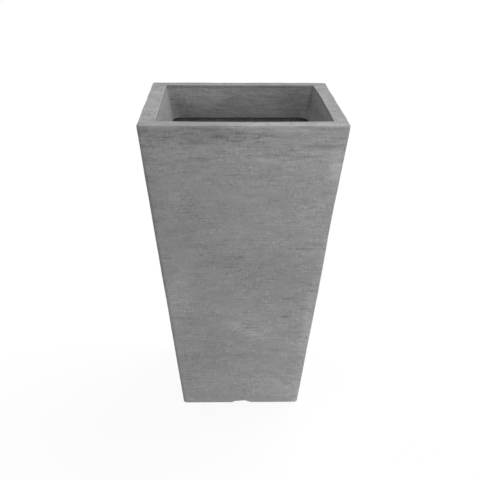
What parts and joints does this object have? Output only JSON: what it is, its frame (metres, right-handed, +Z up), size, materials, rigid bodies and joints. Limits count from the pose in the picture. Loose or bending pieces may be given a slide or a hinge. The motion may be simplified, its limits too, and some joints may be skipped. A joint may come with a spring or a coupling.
{
  "type": "tall planter",
  "caption": "Tall square planter that tapers to its foot, with a flat rim, an inner collar, a loose lift-out soil shelf and a drain plug in its floor.",
  "frame": {"origin": "on the ground at the centre of the foot", "axes": "+Z up; the front face looks along -Y; +X to the right of someone facing the front"},
  "size_m": [0.3996, 0.3996, 0.657],
  "materials": {
    "gelcoat": "matte grey gelcoat, brushed sideways to look like cast cement",
    "raw_laminate": "laminate in the gelcoat's own grey, left rough from the roller",
    "plug_rubber": "matte black moulded rubber",
    "shelf_plastic": "charcoal moulded plastic with a fine grain"
  },
  "bodies": {
    "planter": {"body_shell": "gelcoat", "rim_collar": "gelcoat", "base_pan": "raw_laminate", "cleat_right": "raw_laminate", "cleat_back": "raw_laminate", "cleat_left": "raw_laminate", "cleat_front": "raw_laminate"},
    "shelf": {"soil_shelf": "shelf_plastic"},
    "plug": {"drain_plug": "plug_rubber"}
  },
  "joints": [
    {"name": "shelf_lift", "type": "slide", "parent": "planter", "child": "shelf", "axis": [0, 0, 1], "range_m": [0, 0.45]},
    {"name": "plug_pull", "type": "slide", "parent": "planter", "child": "plug", "axis": [0, 0, 1], "range_m": [0, 0.12]}
  ]
}
